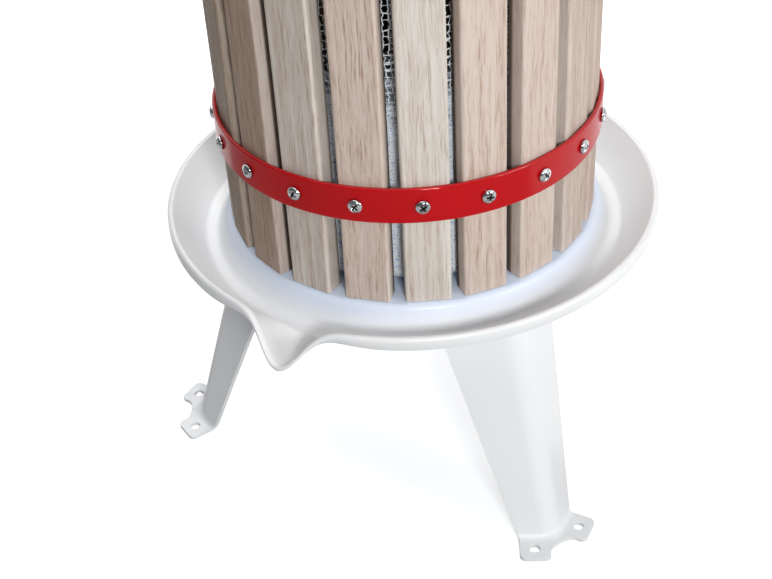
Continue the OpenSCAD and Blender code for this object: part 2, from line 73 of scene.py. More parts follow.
# %% [markdown]
# ## Camera
# The picture looks down on the tray from the front right, a little tilted. A focal length in pixels turns into
# a lens by the share of the picture's width that the 36 mm sensor covers. The camera's place is measured from
# the middle of the tray's platform, with the view's own heading taken off, and then turned with it.

# %% Camera
image_width, focal_px, sensor = 772, 1400.9, 36.0
heading, pitch, roll = (radians(a) for a in (30.725, 37.753, -3.553))
seen_from_platform = np.array([-22.5, -824.9, 552.5]) * mm


def levels(node):
    """Lowest and highest height of a solid."""
    return [corner.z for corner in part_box(node)]


def turned(angle):
    """Matrix of a turn about the upright axis: x goes to (cos, sin) and y to (-sin, cos)."""
    c, s = cos(angle), sin(angle)
    return np.array([[c, -s, 0], [s, c, 0], [0, 0, 1.0]])


def stood(name, data, axes=np.eye(3), spot=(0, 0, 0)):
    """An object in the scene at a spot, with its own axes as the columns of a matrix."""
    made = bpy.data.objects.new(name, data)
    bpy.context.scene.collection.objects.link(made)
    made.matrix_world = Matrix(np.vstack([np.column_stack([axes, spot]), [0, 0, 0, 1]]).tolist())
    return made


platform_z = levels("spindle_gasket")[0]
right = np.array([1.0, 0, 0])
up = np.array([0, sin(pitch), cos(pitch)])
back = np.array([0, -cos(pitch), sin(pitch)])
view_axes = turned(heading) @ np.stack([right, up, back], axis=1) @ turned(roll)
eye = turned(heading) @ seen_from_platform + [0, 0, platform_z]

camera = stood("camera", bpy.data.cameras.new("camera"), view_axes, eye)
camera.data.sensor_width = sensor
camera.data.lens = sensor * focal_px / image_width
bpy.context.scene.camera = camera
print("lens", round(camera.data.lens, 2), "mm, camera at", np.round(eye, 3))

# %% [markdown]
# ## From grids of points to pieces
# Every surface here is a grid: rows of points that are joined to the next row by quads. Where a row shrinks to
# one point, or the last row lies on the first, the doubled points are merged, which closes the shell, and then
# its faces are turned outwards. An attribute may ride on the points, such as a board's own coordinates.

# %% Mesh helpers
weld, sliver = 1e-6, 1e-7  # metres


def quads(rows, columns, first, closed=True):
    """Corner numbers of the quads between neighbouring rows; in a closed grid the last column joins the first."""
    row = np.arange(rows - 1)[:, None] * columns
    here = np.arange(columns if closed else columns - 1)[None, :]
    there = (here + 1) % columns
    corners = [row + here, row + there, row + columns + there, row + columns + here]
    return first + np.stack(corners, axis=-1).reshape(-1, 4)


def surface(name, grids, marks=None, strips=(), outside=None):
    """One smooth object from grids of shape (rows, columns, 3): closed round their columns, or open strips.
    marks maps an attribute's name to one array per grid; an open sheet's faces are turned to face outside."""
    pieces = [(g, True) for g in grids] + [(g, False) for g in strips]
    corners = np.concatenate([g.reshape(-1, 3) for g, _ in pieces])
    starts = np.cumsum([0] + [g.shape[0] * g.shape[1] for g, _ in pieces])
    faces = np.concatenate([quads(*g.shape[:2], s, closed) for (g, closed), s in zip(pieces, starts)])
    mesh = bpy.data.meshes.new(name)
    mesh.from_pydata(corners.tolist(), [], faces.tolist())
    for mark, values in (marks or {}).items():
        layer = mesh.attributes.new(mark, "FLOAT_VECTOR", "POINT")
        values = np.concatenate([v.reshape(-1, 3) for v in values])
        layer.data.foreach_set("vector", values.astype(np.float32).ravel())
    shell = bmesh.new()
    shell.from_mesh(mesh)
    bmesh.ops.remove_doubles(shell, verts=shell.verts, dist=weld)
    bmesh.ops.dissolve_degenerate(shell, edges=shell.edges, dist=sliver)
    bmesh.ops.recalc_face_normals(shell, faces=shell.faces)
    shell.normal_update()
    if outside is not None and sum(f.normal.dot(outside) * f.calc_area() for f in shell.faces) < 0:
        bmesh.ops.reverse_faces(shell, faces=shell.faces)
    shell.to_mesh(mesh)
    shell.free()
    mesh.polygons.foreach_set("use_smooth", np.ones(len(mesh.polygons), bool))
    return stood(name, mesh)


def dress(piece, slot, finish, *nodes, flats=True):
    """Puts a piece on the body of the nodes that it stands for, hides those nodes and gives it its finish; its slot
    is only printed.
    A piece with flats gets normals weighted by face area, so that small roundings don't shade the flats."""
    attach(piece, frame["nodes"][nodes[0]]["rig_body"])
    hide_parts(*nodes)
    piece.data.materials.append(finish)
    if flats:
        weighted = piece.modifiers.new("flat_faces", "WEIGHTED_NORMAL")
        weighted.weight = 100
    print(f"{piece.name}: {len(piece.data.vertices)} points, {slot}")


print("mesh helpers ready")

# %% [markdown]
# ## Rounded outlines
# Pressed sheet, sawn boards and castings all have rounded corners. One function rounds the corners of a line of
# points with arcs, and another carries an outline round the upright axis, so most pieces are a line and a turn.

# %% Outline helpers
def rounded_line(corners, radii, steps=6):
    """The line through corners (n, 2) with an arc of the given radius at each; a radius of 0 keeps the corner.
    The arc touches both straights at radius * tan(turn / 2) from the corner."""
    corners = np.asarray(corners, float)
    line = [corners[:1]]
    for a, b, c, r in zip(corners[:-2], corners[1:-1], corners[2:], radii):
        go, leave = (b - a) / np.linalg.norm(b - a), (c - b) / np.linalg.norm(c - b)
        side = np.sign(go[0] * leave[1] - go[1] * leave[0])
        turn = np.arccos(np.clip(go @ leave, -1, 1))
        inward = side * np.array([-go[1], go[0]])
        centre = b - go * r * np.tan(turn / 2) + r * inward
        swing = np.linspace(0, turn, steps + 1 if r else 1)[:, None]
        line.append(centre + r * (np.sin(swing) * go - np.cos(swing) * inward) if r else b[None])
    return np.concatenate(line + [corners[-1:]])


def closed_outline(corners, radii, steps=6):
    """A closed outline with rounded corners, ending on its own first point, which lies midway on the last side."""
    corners = np.asarray(corners, float)
    start = (corners[-1] + corners[0]) / 2
    return rounded_line(np.concatenate([start[None], corners, start[None]]), radii, steps)


def points(x, y, z):
    """A grid of points from three arrays that fit together."""
    return np.stack(np.broadcast_arrays(x, y, z), axis=-1)


def about_axis(radius, angle, height):
    """Points at a radius and heading about the upright axis, (r cos, r sin), and at a height."""
    return points(radius * np.cos(angle), radius * np.sin(angle), height)


def spun(line, columns=96):
    """Points (radius, height) of a line carried round the upright axis, as rows of the grid."""
    line = np.asarray(line, float)
    return about_axis(line[:, :1], np.arange(columns) * 2 * pi / columns, line[:, 1:])


def ring(inner, outer, low, high, lip, columns=96):
    """A flat ring with rounded edges: a closed rectangle, spun."""
    corners = [(inner, low), (outer, low), (outer, high), (inner, high)]
    return spun(closed_outline(corners, [lip] * 4, 4), columns)


def placed_at(grid, angle, offset=(0, 0, 0)):
    """A grid moved by offset and then turned about the upright axis."""
    return (grid + np.asarray(offset)) @ turned(angle).T


print("outline helpers ready")

# %% [markdown]
# ## Writing shaders as sums
# A finish is a formula, so it is written as one. The class below wraps a socket: adding or multiplying two of
# them adds a Math node. Any other node comes from one function that sets the node's own options first and then
# its sockets, each a number or a link. Colours go through Mix, because a Math node would turn them grey.

# %% Shader helpers
class Wire:
    """A socket that Python's operators work on; every operator adds one Math node to the socket's tree."""

    def __init__(self, socket):
        self.socket = socket

    def math(self, operation, first, second):
        return add_node(self.socket.id_data, "ShaderNodeMath", {"operation": operation}, {0: first, 1: second})

    def __add__(self, other): return self.math("ADD", self, other)
    def __radd__(self, other): return self.math("ADD", other, self)
    def __sub__(self, other): return self.math("SUBTRACT", self, other)
    def __rsub__(self, other): return self.math("SUBTRACT", other, self)
    def __mul__(self, other): return self.math("MULTIPLY", self, other)
    def __rmul__(self, other): return self.math("MULTIPLY", other, self)
    def larger(self, other): return self.math("MAXIMUM", self, other)
    def wave(self, period): return self.math("PINGPONG", self, period)

    def between(self, low, high):
        """0 below low, 1 above high, and a smooth step between them."""
        return add_node(self.socket.id_data, "ShaderNodeMapRange", {"interpolation_type": "SMOOTHSTEP"},
                        {"Value": self, "From Min": low, "From Max": high})

    def parts(self):
        """The three parts of a vector, each a Wire."""
        made = add_node(self.socket.id_data, "ShaderNodeSeparateXYZ", None, {0: self})
        return [Wire(part) for part in made.socket.node.outputs]


# %% Nodes and finishes
def connect(place, value):
    """Links a Wire to a socket, or writes a plain value into it."""
    if isinstance(value, Wire):
        place.id_data.links.new(value.socket, place)
    else:
        place.default_value = value


def add_node(tree, kind, settings=None, sockets=None, out=0):
    """Any node: its settings first, then its sockets by name or number; gives the chosen output."""
    made = tree.nodes.new(kind)
    for name, value in (settings or {}).items():
        setattr(made, name, value)
    for name, value in (sockets or {}).items():
        connect(made.inputs[name], value)
    return Wire(made.outputs[out])


class Finish:
    """A material with one Principled shader; constants are set on the shader's own sockets."""

    def __init__(self, name, **constants):
        self.material = bpy.data.materials.new(name)
        self.material.use_nodes = True
        self.tree = self.material.node_tree
        self.shader = self.tree.nodes["Principled BSDF"]
        self.feed(**constants)
        print("finish", name)

    def node(self, kind, settings=None, sockets=None, out=0):
        return add_node(self.tree, kind, settings, sockets, out)

    def place(self, mark=None):
        """The piece's own coordinates: Object, or an attribute that rides on its points."""
        if mark:
            return self.node("ShaderNodeAttribute", {"attribute_name": mark}, out=1)
        return self.node("ShaderNodeTexCoord", out=3)

    def stretched(self, where, scale):
        """Coordinates multiplied along each axis, which squeezes a noise along it."""
        return self.node("ShaderNodeVectorMath", {"operation": "MULTIPLY"}, {0: where, 1: scale})

    def wandering(self, where, scale, detail, reach):
        """Coordinates moved by up to reach, along each axis, by a noise of that scale."""
        noise = self.node("ShaderNodeTexNoise", None, {"Vector": where, "Scale": scale, "Detail": detail}, out=1)
        return self.node("ShaderNodeVectorMath", {"operation": "MULTIPLY_ADD"}, {0: noise, 1: reach, 2: where})

    def noise(self, where, scale, detail=2.0, rough=0.5):
        """A smooth random value between 0 and 1, with about scale waves to the metre."""
        sockets = {"Vector": where, "Scale": scale, "Detail": detail, "Roughness": rough}
        return self.node("ShaderNodeTexNoise", None, sockets)

    def mix(self, share, one, other, blend="MIX"):
        """one where share is 0, other where it is 1; both are colours. With MULTIPLY, other stains one."""
        settings = {"data_type": "RGBA", "blend_type": blend}
        return self.node("ShaderNodeMix", settings, {0: share, 6: one, 7: other}, out=2)

    def bump(self, height, depth):
        """A height field in units of depth, in metres, for the shader's Normal."""
        self.feed(normal=self.node("ShaderNodeBump", None, {"Height": height, "Distance": depth, "Strength": 1.0}))

    def feed(self, **values):
        """Numbers or wires for the shader's sockets, by names such as base_color."""
        for name, value in values.items():
            connect(self.shader.inputs[name.replace("_", " ").title().replace("Ior", "IOR")], value)


print("shader helpers ready")

# %% [markdown]
# ## White enamel
# The tray and the legs are pressed steel under a white powder coat: bright, satin, and not quite even. A soft
# cloud of tone, a slightly patchy gloss and the fine ripple of sprayed paint keep it from looking like paper.
# The platform, where the basket stands, is painted a cooler blue-grey, a painted shade, and is a little rougher.

# %% White enamel
def white_enamel():
    coat = Finish("white_enamel", coat_weight=0.2, coat_roughness=0.25)
    where = coat.place()
    cloud = coat.noise(where, 14, 3)
    ripple = coat.noise(where, 420, 2)
    flat = coat.stretched(where, (1, 1, 0))
    from_axis = coat.node("ShaderNodeVectorMath", {"operation": "LENGTH"}, {0: flat}, out=1)
    height = where.parts()[2]
    inside_gutter = 1 - (from_axis + 6 * mm * cloud).between(128 * mm, 146 * mm)
    # Painted shade: this masks the platform inside the gutter, which is painted the cool blue-grey of shade below.
    platform_shade = inside_gutter * height.between(platform_z - 20 * mm, platform_z - 4 * mm)
    tone = coat.mix(cloud, (0.82, 0.825, 0.83, 1), (0.865, 0.868, 0.87, 1))
    shaded_platform_tone = coat.mix(platform_shade, tone, (0.71, 0.80, 0.95, 1))
    coat.feed(base_color=shaded_platform_tone, roughness=0.30 + 0.12 * cloud + 0.1 * platform_shade)
    coat.bump(ripple, 0.06 * mm)
    return coat.material


enamel = white_enamel()

# %% [markdown]
# ## Red paint
# The hoops and the cast head are dipped in a thick gloss red. Thick paint flows: its surface has long soft
# ripples, and the tone deepens a little where it has run together. On a rounded edge, which an attribute marks,
# the paint has drawn smooth, so its clear gloss is stronger there and the edge catches a thin line of light.

# %% Red paint
def red_paint():
    coat = Finish("red_paint", coat_roughness=0.04, specular_ior_level=0.02)
    where = coat.place()
    edge = coat.place("edge").parts()[0]
    run = coat.noise(where, 24, 2)
    ripple = coat.noise(where, 300, 2)
    tone = coat.mix(run, (0.43, 0.001, 0.003, 1), (0.54, 0.002, 0.005, 1))
    coat.feed(base_color=tone, roughness=0.26 + 0.10 * run, coat_weight=0.30 + 0.50 * edge)
    coat.bump(ripple, 0.04 * mm)
    return coat.material


red = red_paint()

# %% [markdown]
# ## Metals
# The screws, bolts and nuts are zinc plated, with a cloudy shine. The spindle, the arms and the thrust plate
# are turned steel, so fine rings lie across their axis. One recipe serves both, with its own tones and marks.

# %% Metals
def metal(name, dark, light, gloss, marks):
    """marks scales the fine noise along x, y and z: a large number across the axis gives turning rings. The
    attribute recess, where a piece has it, is 1 in a tool recess, which is painted near black and rougher: painted
    shade."""
    bare = Finish(name, metallic=1.0)
    where = bare.place()
    cloud = bare.noise(where, 160, 3)
    fine = bare.noise(bare.stretched(where, marks), 1.0, 3)
    tone = bare.mix(cloud.between(0.3, 0.7), dark, light)
    recess = bare.place("recess").parts()[0]
    # Painted shade: the cross recess is painted near black.
    recess_shaded = bare.mix(recess, tone, (0.03, 0.028, 0.026, 1))
    bare.feed(base_color=recess_shaded, roughness=gloss + 0.16 * fine + 0.3 * recess)
    bare.bump(fine, 0.02 * mm)
    return bare.material


zinc = metal("zinc", (0.32, 0.325, 0.33, 1), (0.64, 0.65, 0.66, 1), 0.08, (900, 900, 900))
steel_tones = (0.34, 0.35, 0.37, 1), (0.47, 0.48, 0.50, 1)
steel = metal("bright_steel", *steel_tones, 0.20, (60, 60, 5200))
arm_steel = metal("arm_steel", *steel_tones, 0.20, (5200, 60, 60))

# %% [markdown]
# ## Rubber
# The seal under the collar is black rubber: matt, with a fine grain and a grey bloom.

# %% Rubber
def rubber():
    seal = Finish("rubber")
    where = seal.place()
    grain, bloom = seal.noise(where, 1500, 2), seal.noise(where, 90, 3)
    tone = seal.mix(bloom, (0.012, 0.012, 0.013, 1), (0.045, 0.045, 0.046, 1))
    seal.feed(base_color=tone, roughness=0.6 + 0.2 * grain)
    seal.bump(grain, 0.05 * mm)
    return seal.material


black_rubber = rubber()

# %% [markdown]
# ## Oak
# Each board carries its own coordinates: across, through and along the grain, in metres, with a shift of its
# own so that no two boards repeat. Slow bands are the year rings, long thin streaks are the fibres, and short
# dark dashes are the open pores that oak shows. A second attribute gives each board its own tone, and on the
# staves a painted highlight on their narrow sides. A third says how far a point lies towards the fruit, where
# the wood is painted dark brown: partly juice stain, and partly painted shade deep in the gaps between staves.

# %% Oak
def oak_finish():
    wood = Finish("oak", specular_ior_level=0.2)
    dark, rose, dense = wood.place("tint").parts()
    lean = wood.wandering(wood.place("board"), 22.0, 2.0, (3.5 * mm, 3.5 * mm, 0))
    rings = wood.noise(wood.stretched(lean, (150, 120, 5)), 1.0, 3, 0.6)
    grain = wood.noise(wood.stretched(lean, (480, 440, 11)), 1.0, 3, 0.6)
    dashes = wood.noise(wood.stretched(lean, (1250, 1250, 62)), 1.0, 2, 0.6)
    fibre = wood.noise(wood.stretched(lean, (1700, 1700, 45)), 1.0, 3, 0.65)
    pores = dashes.between(0.47, 0.66) * (0.3 + 0.7 * grain.between(0.38, 0.62))
    pale = wood.mix(rings.between(0.28, 0.74), (0.745, 0.705, 0.645, 1), (0.64, 0.565, 0.495, 1))
    rosy = wood.mix(rose, pale, (0.70, 0.555, 0.485, 1))
    lined = wood.mix((0.20 + 0.40 * dense) * grain.between(0.36, 0.66), rosy, (0.53, 0.40, 0.315, 1))
    stroked = wood.mix((0.30 + 0.58 * dense) * pores, lined, (0.36, 0.215, 0.145, 1))
    # On the staves' narrow sides the tint's dark part is lowered: a painted highlight.
    toned = wood.mix(dark, stroked, (0.50, 0.41, 0.33, 1), "MULTIPLY")
    # Juice stain and painted shade: the wood towards the fruit, deep in the gaps between staves, is painted dark
    # brown.
    stain_and_shade = wood.place("stain_and_shade").parts()[0]
    stain_shade_mask = (stain_and_shade + 0.06 * rings).between(0.60, 0.80)
    stained_and_shaded = wood.mix(0.9 * stain_shade_mask, toned, (0.075, 0.045, 0.03, 1))
    wood.feed(base_color=stained_and_shaded, roughness=0.50 + 0.22 * fibre)
    wood.bump(fibre - 0.8 * pores, 0.12 * mm)
    return wood.material


oak = oak_finish()

# %% [markdown]
# ## The tray
# The tray is pressed from one sheet: a flat platform, a gutter round it, a sloping wall and a rolled rim. At the
# front the rim is drawn out and down into a spout. So its section is a line with rounded corners, and the whole
# dish is that line carried round, with the points between gutter and rim moved outwards and down at the spout.

# %% Tray section
platform_r, gutter_in, gutter_out = 130.2 * mm, 138.2 * mm, 147.2 * mm
rim_out = 171.8 * mm
rim_in, rim_rise, rim_bend, rim_lip = rim_out - 3.8 * mm, 6.6 * mm, 2.3 * mm, 8.5 * mm
gutter_depth, tray_sheet = 18 * mm, 2 * mm
spout_reach, spout_drop, spout_lip = 12.3 * mm, 26.3 * mm, 3 * mm
spout_sector, spout_power, spout_soft, spout_from = radians(24), 12, 0.012, -0.5
least_bend, lip_slack = 0.1 * mm, 0.1 * mm
tray_corners = np.array([
    (0, 0), (platform_r, 0), (gutter_in, -gutter_depth), (gutter_out, -gutter_depth),
    (rim_in, rim_rise), (rim_out, rim_rise), (rim_out, rim_rise - rim_lip)])
bends = np.array([-5 * mm, 4.5 * mm, 5 * mm, -rim_bend, -rim_bend])


def beside(corners, depth):
    """The corner line at a depth on its right: each corner moves along the mean of its two sides' normals."""
    way = np.diff(corners, axis=0)
    normal = np.stack([way[:, 1], -way[:, 0]], axis=1) / np.linalg.norm(way, axis=1)[:, None]
    before, after = normal[:-1], normal[1:]
    inner = corners[1:-1] + depth * (before + after) / (1 + (before * after).sum(1, keepdims=True))
    return np.concatenate([corners[:1] + depth * normal[:1], inner, corners[-1:] + depth * normal[-1:]])


def sheet_line(depth):
    """The section's line at a depth in the sheet: a bend is wider by the depth on one side, tighter on the other."""
    return rounded_line(beside(tray_corners, depth), np.maximum(abs(bends + depth), least_bend), 9)


top_line, under_line = sheet_line(0), sheet_line(tray_sheet)
section = np.concatenate([top_line, under_line[::-1]])
print("tray section:", len(section), "points")


# %% Tray surface
def tray_surface(line, columns=720):
    """The section carried round. With n = cos(90 * h / sector) at a heading h from the spout's middle, a point
    moves by n ** power of the spout's reach and drop, by its share of the way from gutter to rim, which starts
    softly, as (way + sqrt(way ** 2 + a little)) / 2; and the lip under the rim's bend shortens by n ** 2."""
    angle = np.linspace(-pi, pi, columns, endpoint=False)
    near = np.cos(np.minimum(1, abs(angle) / spout_sector) * pi / 2)
    form = near ** spout_power
    way = np.minimum((line[:, 0] - gutter_out) / (rim_in - gutter_out), 1)
    share = np.where(way > spout_from, (way + np.sqrt(way ** 2 + spout_soft)) / 2, 0)[:, None]
    on_lip = (line[:, 0] > rim_out - tray_sheet - lip_slack) * np.maximum(0, rim_rise - rim_bend - line[:, 1])
    lifted = (on_lip / (rim_lip - rim_bend))[:, None] * (rim_lip - spout_lip) * near ** 2
    radius = line[:, :1] + spout_reach * share * form
    height = line[:, 1:] - spout_drop * share * form + lifted + platform_z
    return points(radius * np.sin(angle), -radius * np.cos(angle), height)


tray = surface("tray_dish", [tray_surface(section)])
dress(tray, "white_enamel", enamel, "tray")

# %% [markdown]
# ## The legs
# A leg is one plate folded lengthways into a shallow roof, wider at the top. Its section is therefore two
# straight flanges and a rounded ridge, at every height the same but for the width. The plate ends in drilled
# ears that are bent out flat on the floor, and in tabs under the tray. Sizes are those of the solids.

# %% Leg sizes
leg_sheet, leg_fold, ridge_r, tab_bend = 3 * mm, radians(33), 18 * mm, 5 * mm
leg_foot_r, leg_top_r, tray_under = 178.5 * mm, 120.5 * mm, platform_z - tray_sheet
ear = {"at": 16.4 * mm, "inner": 5.2 * mm, "outer": 26.9 * mm, "reach": 10 * mm, "edge": 9 * mm, "hole": 3.75 * mm}
tab = {"at": 38 * mm, "width": 26 * mm, "reach": 15 * mm, "edge": 11 * mm, "hole": 3.05 * mm}
ear_corner, notch_r, leg_top_w = 4 * mm, 4.5 * mm, 60 * mm
leg_lean = atan2(leg_foot_r - leg_top_r, tray_under)
flange_lean = atan(tan(leg_lean) * cos(leg_fold))
ridge_fold = atan(tan(leg_fold) * cos(leg_lean))
bend_out = leg_sheet + tab_bend
bend_low = bend_out - tab_bend * sin(flange_lean)
bend_high = tray_under - bend_out * (1 - sin(flange_lean))
bend_back = (tab_bend - bend_out * sin(flange_lean)) / cos(flange_lean)
sheet_back = leg_sheet / cos(flange_lean)
drift = tan(leg_lean) * sin(leg_fold)
leg_headings = [radians(a) for a in (-30, -150, 90)]
print("leg leans", round(degrees(leg_lean), 2), "degrees, each flange", round(degrees(flange_lean), 2))


# %% Folded plate
def ridge_line(sideways):
    """Outer face of the plate in a level cut, outwards from the fold: an arc of the ridge's radius in the
    middle, and beyond sin(fold) of that radius the straight flanges."""
    v = abs(sideways)
    arc = np.sqrt(np.maximum(ridge_r ** 2 - v ** 2, 0)) - ridge_r / cos(ridge_fold)
    flat = -tan(ridge_fold) * v
    return np.where(v < ridge_r * sin(ridge_fold), arc, flat) / cos(leg_lean)


def spread(stops, counts):
    """Even steps between the stops, with the given number of steps in each stretch."""
    return np.concatenate([np.linspace(a, b, n + 1)[:-1] for a, b, n in zip(stops, stops[1:], counts)] + [stops[-1:]])


flange_w = ear["outer"] + (leg_top_w - ear["outer"]) * np.array([bend_low, bend_high]) / tray_under
tab_in, tab_out = (tab["at"] + s * tab["width"] / 2 + (tray_under - bend_high) * drift for s in (-1, 1))
steps = (8, 8, 10, 4)
foot_columns = spread(flange_w[0] * np.array([0, 0.3, 0.5, 0.85, 1]), steps)
top_columns = spread(np.array([0, 0.25 * tab_in, tab_in, tab_out, flange_w[1]]), steps)


def flange_points(across, height):
    """Outer face at a height, at a distance across from the fold along the level line of the flange."""
    sideways = across * cos(leg_fold)
    ridge = leg_foot_r + (leg_top_r - leg_foot_r) * height / tray_under
    return points(ridge + ridge_line(sideways), sideways, height)


rise = np.linspace(0, 1, 30)[:, None]
flange_height = bend_low + (bend_high - bend_low) * rise
flange_grid = flange_points(foot_columns + (top_columns - foot_columns) * rise, flange_height)
print("flange grid", flange_grid.shape)


# %% Ears and tabs
def from_bend(base, across, outwards, height):
    """A point given along the bend's axis, square to it, and up, from a point of the fold's line."""
    a = np.array([-sin(leg_fold), cos(leg_fold), 0])
    b = np.array([cos(leg_fold), sin(leg_fold), 0])
    across, outwards, height = np.broadcast_arrays(across, outwards, height)
    return base + across[..., None] * a + outwards[..., None] * b + height[..., None] * np.array([0, 0, 1.0])


def drilled_flat(outline, centre, hole):
    """The flat beyond a bend: straight lines run in from each point of its outline to the hole's circle. Rows are
    rings from the outline to the hole."""
    spoke = outline - centre
    bore = centre + hole * spoke / np.linalg.norm(spoke, axis=1, keepdims=True)
    return bore + (outline - bore) * np.array([1, 0.94, 0.7, 0.4, 0.15, 0])[:, None, None]


def foot_ear():
    """The bend is an arc from the flange to level that runs right to the fold, where both ears meet, and the
    fold's rounding fades out along it. The notch between the flats is a curve from the fold to the ear's side."""
    swing = np.linspace(pi + flange_lean, 1.5 * pi, 14)[:, None]
    bent = (swing - swing[0]) / (swing[-1] - swing[0])
    outwards, height = bend_back + tab_bend * np.cos(swing), bend_out + tab_bend * np.sin(swing)
    at_fold = -outwards * tan(leg_fold)
    outer = ear["outer"] + (flange_w[0] + bend_low * drift - ear["outer"]) * (1 - bent) ** 2
    across = at_fold + (outer - at_fold) * foot_columns / flange_w[0]
    base = np.array([leg_foot_r, 0, 0])
    bend = from_bend(base, across, outwards, height)
    sideways = foot_columns * cos(leg_fold)
    rounding = ridge_line(sideways) + tan(ridge_fold) * sideways / cos(leg_lean)
    bend[..., 0] += rounding * np.cos(bent * pi / 2) ** 2
    row = np.stack([across[-1], np.full_like(across[-1], bend_back)], axis=-1)
    far, turn_in = ear["reach"] + ear["edge"], bend_back + (ear["inner"] - row[0, 0]) * tan(leg_fold)
    sides = rounded_line([row[-1], (ear["outer"], far), (ear["inner"], far), (ear["inner"], turn_in + notch_r)],
                         [ear_corner, ear_corner], 7)[1:]
    t = np.linspace(0, 1, 9)[1:-1, None]
    notch = (1 - t) ** 2 * sides[-1] + 2 * t * (1 - t) * np.array([ear["inner"], turn_in]) + t ** 2 * row[0]
    flat = drilled_flat(np.concatenate([row, sides, notch]), np.array([ear["at"], ear["reach"]]), ear["hole"])
    return bend, from_bend(base, flat[..., 0], flat[..., 1], np.float64(leg_sheet))


def tray_tab():
    """The upper tab bends the other way, inwards under the tray, so its outer face takes the larger arc."""
    swing = np.linspace(flange_lean, pi / 2, 12)[:, None]
    tab_columns = top_columns[sum(steps[:2]):sum(steps[:3]) + 1] - (tray_under - bend_high) * drift
    centre = -bend_back - sheet_back
    base = np.array([leg_top_r, 0, tray_under])
    bend = from_bend(base, tab_columns, centre + bend_out * np.cos(swing), bend_out * (np.sin(swing) - 1))
    row = np.stack([tab_columns, np.full_like(tab_columns, centre)], axis=-1)
    reach, far = -sheet_back - tab["reach"], -sheet_back - tab["reach"] - tab["edge"]
    sides = rounded_line([row[-1], (row[-1, 0], far), (row[0, 0], far), row[0]], [ear_corner, ear_corner], 7)[1:-1]
    middle = np.array([(row[0, 0] + row[-1, 0]) / 2, reach])
    flat = drilled_flat(np.concatenate([row, sides]), middle, tab["hole"])
    return bend, from_bend(base, flat[..., 0], flat[..., 1], np.float64(0))


(ear_bend, ear_flat), (tab_bend_grid, tab_flat) = foot_ear(), tray_tab()
mirrors = np.array([(1, 1, 1), (1, -1, 1)])
open_grids, ring_grids = ([grid * side for grid in grids for side in mirrors] for grids in
                          ((flange_grid, ear_bend, tab_bend_grid), (ear_flat, tab_flat)))
print("ear flat", ear_flat.shape, "tab flat", tab_flat.shape)

# %% Three legs
for name, angle in zip(("front_right_leg", "front_left_leg", "rear_leg"), leg_headings):
    leg = surface(name + "_plate", [placed_at(g, angle) for g in ring_grids],
                  strips=[placed_at(g, angle) for g in open_grids],
                  outside=(cos(angle), sin(angle), 0.5))
    wall = leg.modifiers.new("sheet", "SOLIDIFY")
    wall.thickness, wall.offset, wall.use_even_offset = leg_sheet, -1, True
    edge = leg.modifiers.new("broken_edges", "BEVEL")
    edge.width, edge.segments, edge.limit_method, edge.angle_limit = 0.6 * mm, 2, "ANGLE", radians(50)
    dress(leg, "white_enamel", enamel, name)

# %% [markdown]
# ## The staves
# Twenty sawn oak slats stand in a ring. A slat is a bar whose outline is a rectangle with rounded corners; close
# to an end the outline moves in on a quarter circle and then closes on its middle. Sawn wood is never quite
# straight, so each slat has a slight bow, and each takes its own shift and tone from a seeded draw, except the
# eight at the front, whose tones are listed; the two at the far left are dark, partly their own tone and partly
# painted shade. Their narrow sides are painted paler than the face, a painted highlight, and towards the fruit
# they are painted dark brown, partly juice stain and partly painted shade deep in the gaps.
# The slats are screwed on by eye, so some at the front sit a millimetre or two to the side of their screws.

# %% Bars of wood
def bar(width, depth, length, corner, lip, rows=12, steps=4):
    """A bar along z from 0 to length, with its own coordinates: a rounded rectangle, drawn in by lip at the ends."""
    swing = np.linspace(0, pi / 2, 4)
    drawn = lip * (1 - np.sin(swing))
    near = lip * (1 - np.cos(swing))
    height = np.concatenate([[0], near, np.linspace(lip, length - lip, rows)[1:-1], length - near[::-1], [length]])
    inset = np.concatenate([[lip], drawn, np.zeros(rows - 2), drawn[::-1], [lip]])[:, None]
    closed = np.ones_like(inset)
    closed[0] = closed[-1] = 0
    quarter = np.arange(4)[:, None] * pi / 2 + np.linspace(0, pi / 2, steps + 1)
    sign_x, sign_y = np.array([1, -1, -1, 1]), np.array([1, 1, -1, -1])
    round_by = np.maximum(corner - inset, 0.2 * corner)
    x = (np.repeat(sign_x, steps + 1) * (width / 2 - inset - round_by) + round_by * np.cos(quarter).ravel()) * closed
    y = (np.repeat(sign_y, steps + 1) * (depth / 2 - inset - round_by) + round_by * np.sin(quarter).ravel()) * closed
    return points(x, y, height[:, None])


draw = np.random.default_rng(7)


def board_marks(grid, tone):
    """The bar's own coordinates with a shift of its own, and its tone: how dark, how rosy and how dense."""
    return {"board": [grid + draw.uniform(-1, 1, 3)], "tint": [np.asarray(tone, float) * np.ones(grid.shape)]}


# %% Staves
stave_w, stave_t, stave_in, stave_round, stave_lip = 29.5 * mm, 14 * mm, 112.5 * mm, 1.9 * mm, 0.9 * mm
stave_low, stave_high = levels("stave_01")
stave_h = stave_high - stave_low
stave_names = sorted(n for n in frame["nodes"] if n.startswith("stave_"))
stave_pitch = 2 * pi / len(stave_names)
first_heading = radians(-94.1)
stain_shade_top, stain_shade_fade, side_highlight_weights = 0.97, 0.12, np.array([1.0, 0.3, 0.8])
in_front = [18, 19, 0, 1, 2, 3, 4, 5]
left_five = in_front[:5]
stave_tones = draw.uniform(0, 1, (len(stave_names), 3)) * [0.4, 0.9, 1.0]
